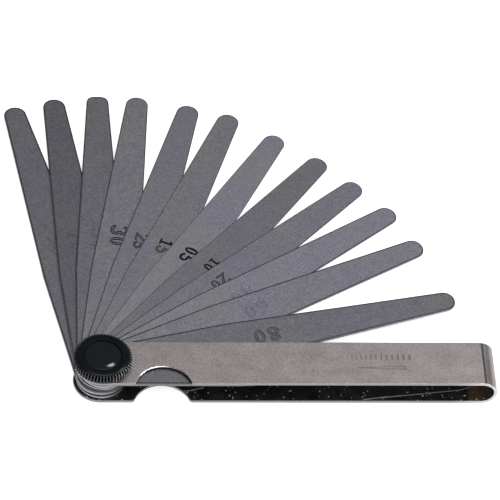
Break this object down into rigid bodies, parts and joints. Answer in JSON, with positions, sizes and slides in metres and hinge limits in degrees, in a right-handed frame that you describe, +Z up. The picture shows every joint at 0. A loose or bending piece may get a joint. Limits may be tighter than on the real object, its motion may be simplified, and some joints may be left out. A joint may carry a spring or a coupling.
{
  "type": "feeler gauge",
  "caption": "Fan of graded steel feeler blades on one stud in a folded sheet-steel holder with a finger notch, clamped by a knurled black thumb knob.",
  "frame": {"origin": "on the stud's axis, at the underside of the lower cheek, on the stud's flush riveted end", "axes": "+X along the holder to its closed end, +Y towards the fanned blades, +Z up through the stack to the knob"},
  "size_m": [0.1214, 0.1011, 0.0113],
  "materials": {
    "holder_steel": "satin nickel-plated sheet steel, fine matt grain",
    "stud_steel": "turned, bright plated",
    "blade_steel": "hardened and tempered strip, fine satin",
    "washer_steel": "bright plated",
    "knob_plastic": "black, glossy, moulded knurl",
    "insert_brass": "turned",
    "cap_plastic": "black, high gloss"
  },
  "bodies": {
    "holder": {"holder": "holder_steel", "pivot_stud": "stud_steel"},
    "blade_0_90": {"blade_0_90": "blade_steel"},
    "blade_0_70": {"blade_0_70": "blade_steel"},
    "blade_0_50": {"blade_0_50": "blade_steel"},
    "blade_0_30": {"blade_0_30": "blade_steel"},
    "blade_0_25": {"blade_0_25": "blade_steel"},
    "blade_0_15": {"blade_0_15": "blade_steel"},
    "blade_0_05": {"blade_0_05": "blade_steel"},
    "blade_0_10": {"blade_0_10": "blade_steel"},
    "blade_0_20": {"blade_0_20": "blade_steel"},
    "blade_0_40": {"blade_0_40": "blade_steel"},
    "blade_0_60": {"blade_0_60": "blade_steel"},
    "blade_0_80": {"blade_0_80": "blade_steel"},
    "blade_1_00": {"blade_1_00": "blade_steel"},
    "knob_seat": {"knob_washer": "washer_steel"},
    "knob": {"knob": "knob_plastic", "knob_insert": "insert_brass", "knob_cap": "cap_plastic"}
  },
  "joints": [
    {"name": "blade_0_90_swing", "type": "hinge", "parent": "holder", "child": "blade_0_90", "pos_m": [0, 0, 0], "axis": [0, 0, 1], "range_deg": [-102.1, 77.9]},
    {"name": "blade_0_70_swing", "type": "hinge", "parent": "holder", "child": "blade_0_70", "pos_m": [0, 0, 0], "axis": [0, 0, 1], "range_deg": [-95.4, 84.6]},
    {"name": "blade_0_50_swing", "type": "hinge", "parent": "holder", "child": "blade_0_50", "pos_m": [0, 0, 0], "axis": [0, 0, 1], "range_deg": [-88.2, 91.8]},
    {"name": "blade_0_30_swing", "type": "hinge", "parent": "holder", "child": "blade_0_30", "pos_m": [0, 0, 0], "axis": [0, 0, 1], "range_deg": [-81.7, 98.3]},
    {"name": "blade_0_25_swing", "type": "hinge", "parent": "holder", "child": "blade_0_25", "pos_m": [0, 0, 0], "axis": [0, 0, 1], "range_deg": [-73.2, 106.8]},
    {"name": "blade_0_15_swing", "type": "hinge", "parent": "holder", "child": "blade_0_15", "pos_m": [0, 0, 0], "axis": [0, 0, 1], "range_deg": [-66.4, 113.6]},
    {"name": "blade_0_05_swing", "type": "hinge", "parent": "holder", "child": "blade_0_05", "pos_m": [0, 0, 0], "axis": [0, 0, 1], "range_deg": [-57.8, 122.2]},
    {"name": "blade_0_10_swing", "type": "hinge", "parent": "holder", "child": "blade_0_10", "pos_m": [0, 0, 0], "axis": [0, 0, 1], "range_deg": [-49.4, 130.6]},
    {"name": "blade_0_20_swing", "type": "hinge", "parent": "holder", "child": "blade_0_20", "pos_m": [0, 0, 0], "axis": [0, 0, 1], "range_deg": [-41.8, 138.2]},
    {"name": "blade_0_40_swing", "type": "hinge", "parent": "holder", "child": "blade_0_40", "pos_m": [0, 0, 0], "axis": [0, 0, 1], "range_deg": [-34.1, 145.9]},
    {"name": "blade_0_60_swing", "type": "hinge", "parent": "holder", "child": "blade_0_60", "pos_m": [0, 0, 0], "axis": [0, 0, 1], "range_deg": [-25.9, 154.1]},
    {"name": "blade_0_80_swing", "type": "hinge", "parent": "holder", "child": "blade_0_80", "pos_m": [0, 0, 0], "axis": [0, 0, 1], "range_deg": [-13.8, 166.2]},
    {"name": "blade_1_00_swing", "type": "hinge", "parent": "holder", "child": "blade_1_00", "pos_m": [0, 0, 0], "axis": [0, 0, 1], "range_deg": [0, 180]},
    {"name": "knob_lift", "type": "slide", "parent": "holder", "child": "knob_seat", "axis": [0, 0, 1], "range_m": [0, 0.0007]},
    {"name": "knob_turn", "type": "hinge", "parent": "knob_seat", "child": "knob", "pos_m": [0, 0, 0.00783], "axis": [0, 0, 1], "range_deg": [0, 360]}
  ],
  "couplings": [
    {"joint": "knob_turn", "follows": "knob_lift", "rad_per_m": 8976}
  ]
}
